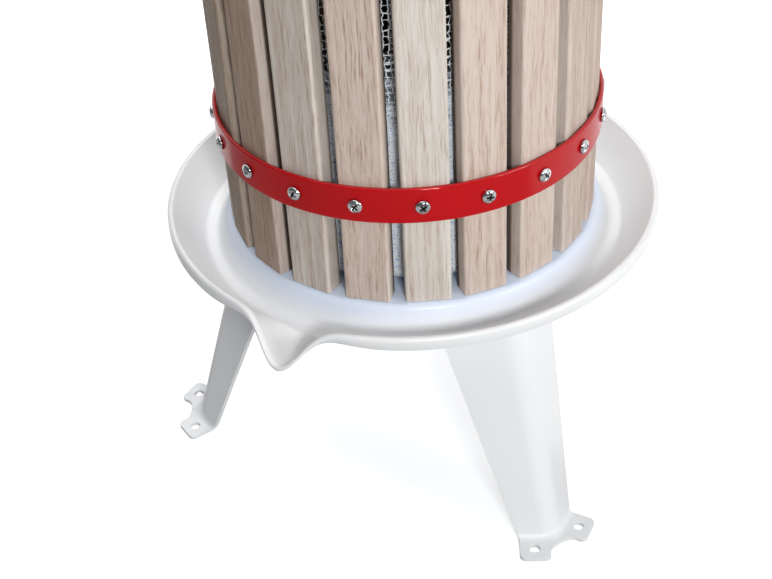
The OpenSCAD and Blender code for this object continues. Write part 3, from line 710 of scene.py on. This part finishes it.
# The front eight tones are listed; the two at the far left, 18 and 19, are dark: partly their own tone, partly
# painted shade.
stave_tones[in_front] = [(0.95, 0.0, 0.6), (0.72, 0.7, 0.7), (0.10, 0.0, 0.5), (0.06, 0.6, 0.7),
                         (0.02, 0.0, 0.3), (0.10, 0.6, 0.5), (0.07, 0.6, 0.3), (0.16, 0.4, 0.5)]
stave_bow = draw.uniform(-0.3, 0.3, len(stave_names)) * mm
stave_off, stave_stain_shade, side_highlight_amount = np.array([[0.0], [1.0], [1.0]]) * np.ones(len(stave_names))
stave_bow[left_five] = np.array([1.2, 1.2, 1.2, 1.2, 0.6]) * mm
stave_off[left_five] = np.array([1.2, 1.6, 1.6, 2.0, 1.8]) * mm
# Painted shade set one by one: the dark brown reaches further on the two staves at the far left, less on the third.
stave_stain_shade[left_five[:3]] = 1.35, 1.35, 0.85
# Less painted highlight on the narrow sides of the stave at the far left.
side_highlight_amount[left_five[0]] = 0.35
for i, name in enumerate(stave_names):
    slat = bar(stave_w, stave_t, stave_h, stave_round, stave_lip, rows=24)
    marks = board_marks(slat, stave_tones[i])
    along = slat[..., 2] / stave_h
    # Stain and painted shade: how far a point lies towards the fruit, fading out near the top.
    inward = stave_stain_shade[i] * (0.5 - slat[..., 1] / stave_t) * np.clip((stain_shade_top - along) / stain_shade_fade, 0, 1)
    marks["stain_and_shade"] = [inward[..., None] * np.ones(3)]
    # Painted highlight: the slat's narrow sides are painted paler.
    side_highlight_share = np.clip((abs(slat[..., :1]) - stave_w / 2) / stave_round + 1, 0, 1)
    marks["tint"][0] *= 1 - side_highlight_amount[i] * side_highlight_share * side_highlight_weights
    slat[..., 0] += stave_off[i] + stave_bow[i] * np.sin(pi * along)
    upright = points(slat[..., 1] + stave_in + stave_t / 2, slat[..., 0], slat[..., 2] + stave_low)
    stave = surface(name + "_slat", [placed_at(upright, first_heading + i * stave_pitch)], marks)
    dress(stave, "oak", oak, name)

# %% [markdown]
# ## Hoops and their screws
# A hoop is a flat band rolled into a ring and painted, so its edges are round with paint. Each stave is held by
# a pan-head screw with a cross recess. The head is a grid of circles: its height falls along the pan's curve,
# and inside the cross it drops to the recess floor.

# %% Hoops
hoop_in, hoop_out, hoop_lip = 127.5 * mm, 130.5 * mm, 1.4 * mm
for side in ("lower", "upper"):
    low, high = levels(side + "_hoop")
    grid = ring(hoop_in, hoop_out, low, high, hoop_lip, 288)
    from_edge = np.minimum(grid[..., 2:] - low, high - grid[..., 2:])
    edge = np.clip(1 - from_edge / hoop_lip, 0, 1) ** 0.5
    band = surface(side + "_hoop_band", [grid], {"edge": [edge * np.ones(3)]})
    dress(band, "red_paint", red, side + "_hoop")


# %% Screws
def pan_screw(columns=112):
    """A screw along +z with its head's underside at z = 0. The pan is a quarter of a rounded curve, and the cross
    is where a point lies within half a slot of either axis and within the recess's reach."""
    head_r, head_h, shank_r, shank = 4.7 * mm, 3.3 * mm, 2 * mm, 13 * mm
    slot, reach, depth, slot_soft, reach_soft = 0.62 * mm, 2.55 * mm, 2.0 * mm, 0.2 * mm, 0.35 * mm
    share = np.concatenate([np.linspace(0, 0.42, 19), np.linspace(0.42, 1, 10)[1:]])
    pan_r = head_r * np.sin(share * pi / 2)
    pan_z = head_h * (0.3 + 0.7 * np.cos(share * pi / 2) ** 0.9)
    line = np.concatenate([np.stack([pan_r, pan_z], 1), [(head_r, 0.1 * mm), (head_r - 0.15 * mm, 0)],
                           [(shank_r, 0), (shank_r, 3 * mm - shank), (0, -shank)]])
    grid = spun(line, columns)
    x, y = abs(grid[..., 0]), abs(grid[..., 1])
    narrow, far = np.minimum(x, y), np.maximum(x, y)
    inside = np.clip((slot - narrow) / slot_soft + 0.5, 0, 1) * np.clip((reach - far) / reach_soft + 0.5, 0, 1)
    inside *= grid[..., 2] > 0.5 * mm
    grid[..., 2] -= depth * inside
    # The second grid marks the cross recess, where the finish paints shade.
    return grid, points(inside ** 2, inside, inside)


outwards = np.array([[0, 0, 1.0], [1, 0, 0], [0, 1, 0]])
screw, recess_shade = pan_screw()
for side in ("lower", "upper"):
    low, high = levels(side + "_hoop")
    heads = []
    for i in range(len(stave_names)):
        twisted = placed_at(screw, draw.uniform(0, pi / 2)) @ outwards.T
        heads.append(placed_at(twisted, first_heading + i * stave_pitch, (hoop_out, 0, (low + high) / 2)))
    screws = surface(side + "_hoop_screws", heads, {"recess": [recess_shade] * len(heads)})
    dress(screws, "zinc", zinc, side + "_screws", flats=False)

# %% [markdown]
# ## The net bag
# The fruit lies in a bag of open white net that lines the basket. A net of threads is far too many tubes, so the
# bag is one sheet that carries its own cloth coordinates, in metres, and the finish cuts the holes between the
# threads with Alpha. The wall has soft upright folds, the foot is round, and the floor is open round the spindle.
# Low down the net is bunched, and there the holes between the threads are painted bluish: a painted second
# layer in painted shade. The side that faces the fruit is painted dark brown, painted shade for the dark inside
# of the basket: Backfacing tells the two sides apart.

# %% Net finish
def net_finish():
    net = Finish("net", roughness=0.6, specular_ior_level=0.25)
    cloth = net.place("cloth")
    across, along, low = net.wandering(cloth, 90.0, 1.0, (5.8 * mm, 5.8 * mm, 0)).parts()

    def threads(place, spacing, half):
        """1 on the threads: the distance to the nearest line of a set is a triangle wave."""
        return 1 - place.wave(spacing / 2).between(half * 0.8, half * 1.2)

    knit = threads(across, 3.5 * mm, 0.31 * mm).larger(threads(along, 5.2 * mm, 0.33 * mm))
    crossed = threads(across + along, 6.8 * mm, 0.55 * mm).larger(threads(across - along, 7.4 * mm, 0.55 * mm))
    crumple = net.noise(cloth, 55, 2)
    bunched = (low + 0.3 * crumple).between(0.48, 0.66)
    fibre = net.noise(cloth, 2600, 2)
    thread = net.mix(fibre, (0.92, 0.97, 1.0, 1), (0.98, 1.0, 1.0, 1))
    speck = net.noise(cloth, 300, 2)
    # Painted shade: where the net is bunched, the holes show a bluish second layer, painted in shade.
    painted_shade_layer = net.mix(speck.between(0.32, 0.54), (0.40, 0.50, 0.80, 1), (0.86, 0.94, 1.0, 1))
    front = knit.larger(crossed * bunched * 0.6)
    # Painted shade: the net's side towards the fruit is painted dark brown, for the dark inside of the basket.
    inside = net.node("ShaderNodeNewGeometry", out=6)
    tone = net.mix(inside, net.mix(front, painted_shade_layer, thread), (0.10, 0.06, 0.035, 1))
    net.feed(base_color=tone, alpha=front.larger(bunched))
    net.bump(fibre, 0.12 * mm)
    return net.material


net = net_finish()

# %% Net bag
bag_out, bag_foot, bag_hole = 111.7 * mm, 9 * mm, 25 * mm
fold_depth, hem_rate, hole_fade = 0.9 * mm, 12, 20 * mm
fold_waves = (23, 0.5, 1.5), (41, 0.35, 2.0), (67, 0.25, 2.5), (97, 0.15, 3.0)  # waves round, depth, wander
bag_low, bag_high = levels("press_bag")
net_r, hem_z, net_floor = bag_out - 0.3 * mm, bag_high - 0.2 * mm, bag_low + 0.5 * mm
bag_line = rounded_line([(net_r, hem_z), (net_r, net_floor), (bag_hole, net_floor)], [bag_foot], 16)


def net_bag(columns=480, rows=150):
    """The bag's line carried round, and drawn in by folds: a sum of waves round the wall that wander with height,
    strongest at mid height and gone at the hem. The cloth's length gathers towards the foot."""
    length = np.concatenate([[0], np.cumsum(np.linalg.norm(np.diff(bag_line, axis=0), axis=1))])
    at = np.linspace(0, length[-1], rows)
    line = np.stack([np.interp(at, length, bag_line[:, k]) for k in (0, 1)], axis=-1)
    grid = spun(line, columns)
    angle = np.arange(columns) * 2 * pi / columns
    down = (at / length[-1])[:, None]
    folds = sum(a * np.sin(n * angle + w * np.sin(5 * down + n) + n * n) for n, a, w in fold_waves)
    free = np.clip(down * hem_rate, 0, 1) * np.clip((line[:, :1] - bag_hole) / hole_fade, 0, 1)
    inward = fold_depth * (1 + folds) * free
    grid = grid - inward[..., None] * about_axis(1.0, angle, 0.0)
    return grid, points(angle * bag_out, at[:, None], down)


bag_grid, bag_cloth = net_bag()
bag = surface("net_bag", [bag_grid], {"cloth": [bag_cloth]}, outside=(0, 0, -1))
dress(bag, "net", net, "press_bag", flats=False)

# %% [markdown]
# ## The spindle
# The spindle is a coarse trapezoid thread. Its radius is one function of height and heading: the thread is high
# where the height, less the heading's share of a pitch, lies on the crest. The thread fades out at the collar.

# %% Spindle
def spindle_surface(columns=48):
    """Rows up the spindle: (height, radius) of the plain body, less the thread's groove where there is thread."""
    low, high = levels("spindle")
    pitch_len, major, groove, collar = 5 * mm, 11 * mm, 2.2 * mm, 20 * mm
    neck, tip = 5 * mm, 4 * mm
    collar_low, collar_high, stud = platform_z + 2 * mm, platform_z + 8 * mm, 8 * mm
    body = [(0, low), (stud, low), (stud, collar_low), (collar, collar_low), (collar, collar_high),
            (major, collar_high), (major, high - tip)]
    body = rounded_line(body, [1.5 * mm, 0.3 * mm, 0.8 * mm, 1.2 * mm, 1.5 * mm], 4)
    thread = np.arange(collar_high + neck, high - tip, 0.5 * mm)
    top = rounded_line([(major, high - tip), (major, high), (0, high)], [2 * mm], 6)
    line = np.concatenate([body[:-1], np.stack([np.full_like(thread, major), thread], 1), top])
    grid = spun(line, columns)
    angle = np.arange(columns) / columns
    phase = (grid[..., 2] - angle * pitch_len) / pitch_len
    crest = np.clip(abs((phase % 1) - 0.5) * 4 - 0.5, 0, 1)
    begins = np.clip((line[:, 1] - collar_high - neck) / (4 * mm), 0, 1)
    ends = np.clip((high - 3 * mm - line[:, 1]) / mm, 0, 1)
    slim = 1 - (groove * (1 - crest) * (begins * ends)[:, None]) / np.maximum(line[:, :1], 1e-6)
    grid[..., :2] *= slim[..., None]
    return grid


dress(surface("threaded_spindle", [spindle_surface()]), "bright_steel", steel, "spindle", flats=False)

# %% [markdown]
# ## Fixings under the tray
# The spindle's collar stands on a rubber seal and is drawn down by a plate, a washer and a nut below. Each is a
# ring with broken edges. A nut is a ring whose radius follows a hexagon, cut back by a cone at its two ends.

# %% Rings and nuts
def nut(af, low, high, hole, columns=96):
    """The hexagon's radius is half the flats' distance over the cosine of the angle from the nearest flat."""
    angle = np.arange(columns) * 2 * pi / columns
    hexagon = af / 2 / np.cos((angle + pi / 6) % (pi / 3) - pi / 6)
    cone, drop, lip = af / 2 * 0.97, (high - low) * 0.14, 0.4 * mm
    line = np.array([(hole, low + lip), (hole + lip, low), (cone, low), (af, low + drop), (af, high - drop),
                     (cone, high), (hole + lip, high), (hole, high - lip), (hole, low + lip)])
    return about_axis(np.minimum(line[:, :1], hexagon), angle, line[:, 1:])


stud_hole = 8.05 * mm
for node, outer, hole, lip, slot, finish in (
        ("spindle_gasket", 22, stud_hole, 0.5, "rubber", black_rubber),
        ("base_plate", 45, stud_hole, 0.9, "bright_steel", steel),
        ("base_washer", 16, stud_hole, 0.5, "zinc", zinc),
        ("thrust_plate", 37, 13 * mm, 0.8, "bright_steel", steel)):
    made = surface(node + "_ring", [ring(hole, outer * mm, *levels(node), lip * mm)])
    dress(made, slot, finish, node)
dress(surface("base_hexagon", [nut(24 * mm, *levels("base_nut"), stud_hole)]), "zinc", zinc, "base_nut")

# %% [markdown]
# ## Leg bolts
# Six bolts with low domed heads hold the legs under the platform, with a nut on each. They repeat, so one bolt
# and one nut are made at the axis and set down at every leg tab.

# %% Leg bolts
bolt_in = sheet_back + tab["reach"]
bolt_u = leg_top_r - sin(leg_fold) * tab["at"] - cos(leg_fold) * bolt_in
bolt_v = cos(leg_fold) * tab["at"] - sin(leg_fold) * bolt_in
bolt_low, bolt_high = levels("leg_bolts")
head_r, bolt_r = 6.5 * mm, 3 * mm
dome = np.linspace(0, 1, 9)
dome_line = np.stack([head_r * np.sin(dome * pi / 2),
                      platform_z + (bolt_high - platform_z) * np.cos(dome * pi / 2)], axis=1)
turns = np.arange(bolt_low + 1 * mm, platform_z - 9 * mm, 0.25 * mm)[::-1]
ridged = np.stack([bolt_r - 0.35 * mm * (0.5 + 0.5 * np.cos(2 * pi * turns / mm)), turns], axis=1)
bolt_end = [(bolt_r - 0.8 * mm, bolt_low), (0, bolt_low)]
bolt = spun(np.concatenate([dome_line, [(bolt_r, platform_z)], ridged, bolt_end]), 32)
leg_nut = nut(10 * mm, *levels("leg_nuts"), bolt_r + 0.05 * mm, 48)
spots = [(a, (bolt_u, s * bolt_v, 0)) for a in leg_headings for s in (-1, 1)]
bolts, nuts = ([placed_at(one, a, p) for a, p in spots] for one in (bolt, leg_nut))
dress(surface("leg_bolt_set", bolts), "zinc", zinc, "leg_bolts", flats=False)
dress(surface("leg_nut_set", nuts), "zinc", zinc, "leg_nuts")

# %% [markdown]
# ## Press plates and blocks
# Two half-round oak plates press on the bag, and two pairs of oak blocks stand crosswise on them. A plate is a
# rounded rectangle carried through half a turn, with its two cut faces closed. A block is a bar laid down.

# %% Press plates
plate_low, plate_high = levels("press_plate_right")
plate_in, plate_out, plate_slit = 13 * mm, 107.5 * mm, 2 * mm
half_turn = np.linspace(-pi / 2, pi / 2, 61)[:, None]
plank_tones = np.array([0.3, 0.8, 1.0])


def half_plate():
    """A closed section (radius, height) carried through half a turn; the slit moves both cut faces off the middle."""
    mid_r, middle = (plate_in + plate_out) / 2, (plate_low + plate_high) / 2
    rim, bore = ([(mid_r, a), (r, a), (r, b), (mid_r, b)] for r, a, b in
                 ((plate_out, plate_low, plate_high), (plate_in, plate_high, plate_low)))
    loop = np.concatenate([rounded_line(rim, [2 * mm] * 2, 4), rounded_line(bore, [1 * mm] * 2, 4)[1:-1]])
    start = np.argmin(abs(loop[:, 1] - middle) + 10 * (loop[:, 0] < plate_out - 3 * mm))
    loop = np.roll(loop, -start, axis=0)
    grid = about_axis(loop[:, 0], half_turn, loop[:, 1])
    grid[..., 0] = plate_slit / 2 + grid[..., 0] * (1 - plate_slit / 2 / plate_out)
    return grid


half = half_plate()
middles = np.broadcast_to(half.mean(axis=1, keepdims=True), half.shape)
closed_half = np.concatenate([middles[:1], half, middles[-1:]])
for name, angle in (("press_plate_right", 0.0), ("press_plate_left", pi)):
    marks = board_marks(closed_half[..., [0, 2, 1]], draw.uniform(0, 1, 3) * plank_tones)
    dress(surface(name + "_board", [placed_at(closed_half, angle)], marks), "oak", oak, name)

# %% Press blocks
block, block_gap = 45 * mm, 13 * mm
for name, length, angle in (("lower_block_rear", 176, 0), ("lower_block_front", 176, 180),
                            ("upper_block_left", 150, 90), ("upper_block_right", 150, -90)):
    beam = bar(block, block, length * mm, 2.5 * mm, 1.2 * mm, rows=14)
    marks = board_marks(beam, draw.uniform(0, 1, 3) * plank_tones)
    laid = beam[..., [2, 0, 1]] + [-length * mm / 2, block_gap + block / 2, levels(name)[0] + block / 2]
    dress(surface(name + "_beam", [placed_at(laid, radians(angle))], marks), "oak", oak, name)

# %% [markdown]
# ## Press head, arms and grips
# The head is one red casting: a foot that bears on the thrust plate, a waist, and a hub with a socket on each
# side. Castings have no sharp inner corners, so its line is rounded at every corner and the sockets flare into
# the hub. Two steel arms sit in the sockets, with a turned wooden grip on each.

# %% Press head
head_low, head_high = levels("press_head")
arm_z, bore = head_low + 40 * mm, 11.08 * mm
foot_to_hub = [(32, 0), (32, 8), (21, 19), (25, 31), (25, 62)]  # radius, and height above the foot, in mm
casting = [(bore, head_low), *((r * mm, head_low + z * mm) for r, z in foot_to_hub), (bore, head_high)]
head_loop = closed_outline(np.array(casting), np.array([0.6, 2, 2.5, 9, 9, 6, 1]) * mm, 7)
head_grids = [spun(head_loop, 128)]
boss_r, boss_reach, socket = 13 * mm, 46 * mm, 7.05 * mm
along = np.linspace(19 * mm, boss_reach - 2 * mm, 20)
flare = boss_r + 5 * mm * np.exp(-(along - 21 * mm) / (3.2 * mm)).clip(0, 1.2)
boss_end = [(boss_r, boss_reach - 1.9 * mm), (boss_r, boss_reach), (socket, boss_reach)]
boss_line = np.concatenate([[(socket, along[0])], np.stack([flare, along], 1),
                            rounded_line(boss_end, [1.8 * mm], 5), [(socket, along[0])]])
laid_down = np.array([[0, 0, 1.0], [0, 1, 0], [-1, 0, 0]])
boss = spun(boss_line, 64) @ laid_down.T + [0, 0, arm_z]
head_grids += [boss, placed_at(boss, pi)]
dress(surface("cast_head", head_grids), "red_paint", red, "press_head", flats=False)

# %% Arms and grips
arm_r, arm_in, arm_end = 7 * mm, 19.1 * mm, 204 * mm
rod_line = rounded_line([(0, arm_in), (arm_r, arm_in), (arm_r, arm_end), (0, arm_end)], [0.8 * mm, 1.5 * mm], 5)
rod = spun(rod_line, 48) @ laid_down.T + [0, 0, arm_z]
grip_in, grip_out, grip_r, grip_end = 118 * mm, 212 * mm, 15 * mm, 11.7 * mm
share = np.linspace(0, 1, 33)
barrel = np.stack([grip_end + (grip_r - grip_end) * np.sin(pi * share),
                   grip_in + 5 * mm + (grip_out - grip_in - 10 * mm) * share], axis=1)
knob = np.array([(0, 0), (grip_end - 2.5 * mm, 0), (grip_end - 0.9 * mm, 1.5 * mm)])
grip = spun(np.concatenate([knob + [0, grip_in], barrel, (knob * [1, -1] + [0, grip_out])[::-1]]), 64)
for side, angle in (("right", 0.0), ("left", pi)):
    dress(surface(side + "_arm_rod", [placed_at(rod, angle)]), "bright_steel", arm_steel, side + "_arm", flats=False)
    marks = board_marks(grip, draw.uniform(0, 1, 3) * [0.4, 0.8, 0.6])
    turned_grip = placed_at(grip @ laid_down.T + [0, 0, arm_z], angle)
    dress(surface(side + "_grip_barrel", [turned_grip], marks), "oak", oak, side + "_grip", flats=False)

# %% [markdown]
# ## Stage and light
# The press stands on a white floor under a white sky. As a light the sky is weak, so that the lamps can model the
# form: the main one stands beside the camera and a second on the right, which leaves the staves on the left and
# the left leg in shade, and a wide lamp above and one behind fill in. Gloss shows its surroundings, so what glossy
# rays see is set too: the white half of the room lies behind and to the right, and a dim half on the other side.
# That half-and-half room gives the red paint its clear edge of light, and the screws and arms their contrast.

# %% Room
bright_side = turned(heading) @ np.array([0.47, 0.88, 0])
bright_room, dim_room = 1.0, 0.08


def seen_as(tree, position, plain):
    """Strength by the kind of ray: plain where the camera looks, straight or through glass; on glossy rays the
    bright half of the room where the position's part along the bright side is above 0, and the dim half below."""
    looked, through, glossy = (add_node(tree, "ShaderNodeLightPath", out=kind) for kind in
                               ("Is Camera Ray", "Is Transmission Ray", "Is Glossy Ray"))
    side = add_node(tree, "ShaderNodeVectorMath", {"operation": "DOT_PRODUCT"}, {0: position, 1: bright_side}, out=1)
    room = dim_room + (bright_room - dim_room) * side.between(-0.02, 0.04)
    return looked.larger(through) * plain + glossy * room


print("bright side of the room:", np.round(bright_side, 3))

# %% Floor
floor_half, floor_z = 12.0, -0.3 * mm
floor_tone, floor_glow, glow_near, glow_far = (0.6, 0.6, 0.6, 1), 0.71, 0.22, 0.9
corners = [(x * floor_half, y * floor_half, floor_z) for x, y in ((-1, -1), (1, -1), (1, 1), (-1, 1))]
floor_mesh = bpy.data.meshes.new("floor")
floor_mesh.from_pydata(corners, [], [(0, 1, 2, 3)])
floor = stood("floor", floor_mesh)
paper = bpy.data.materials.new("white_floor")
paper.use_nodes = True
tree = paper.node_tree
tree.nodes.clear()
floor_spot = add_node(tree, "ShaderNodeTexCoord", out="Object")
from_middle = add_node(tree, "ShaderNodeVectorMath", {"operation": "LENGTH"}, {0: floor_spot}, out=1)
strength = seen_as(tree, floor_spot, floor_glow + (1 - floor_glow) * from_middle.between(glow_near, glow_far))
matt = add_node(tree, "ShaderNodeBsdfDiffuse", None, {"Color": floor_tone})
glow = add_node(tree, "ShaderNodeEmission", None, {"Strength": strength})
both = add_node(tree, "ShaderNodeAddShader", None, {0: matt, 1: glow})
connect(tree.nodes.new("ShaderNodeOutputMaterial").inputs["Surface"], both)
floor_mesh.materials.append(paper)
print("floor", 2 * floor_half, "m wide")

# %% Sky and lamps
sky_light = 0.08
world = bpy.data.worlds.new("white_sky")
bpy.context.scene.world = world
world.use_nodes = True
sky = world.node_tree.nodes["Background"]
sky.inputs["Color"].default_value = (1, 1, 1, 1)
way = add_node(world.node_tree, "ShaderNodeNewGeometry", out="Position")
connect(sky.inputs["Strength"], sky_light + seen_as(world.node_tree, way, 1 - sky_light))


def soft_lamp(name, sideways, towards, height, size, power, tint=(1, 1, 1)):
    """A square lamp, in metres to the camera's right, towards it and above the aim in the basket; power in watts."""
    aim = np.array([0, 0, platform_z + 100 * mm])
    spot = aim + turned(heading) @ np.array([sideways, -towards, height])
    back = (spot - aim) / np.linalg.norm(spot - aim)
    side = np.cross([0, 0, 1.0], back)
    side /= np.linalg.norm(side)
    axes = np.stack([side, np.cross(back, side), back], axis=1)
    lamp = stood(name, bpy.data.lights.new(name, "AREA"), axes, spot)
    lamp.data.size, lamp.data.energy, lamp.data.color = size, power, tint
    print(name, "at", np.round(spot, 2), power, "W")


soft_lamp("front_lamp", 0.28, 1.80, 0.9, 0.3, 20, (0.97, 0.985, 1))
soft_lamp("right_lamp", 1.46, 1.06, 0.6, 0.6, 12.5)
soft_lamp("top_lamp", -0.1, 0.1, 1.7, 1.5, 13, (0.95, 0.975, 1))
soft_lamp("back_lamp", 0.0, -1.0, 1.4, 1.2, 15)

# %% [markdown]
# ## Finish
# The view transform stays Standard, so a colour comes out as it was written.

# %% Finish
bpy.context.scene.view_settings.view_transform = "Standard"
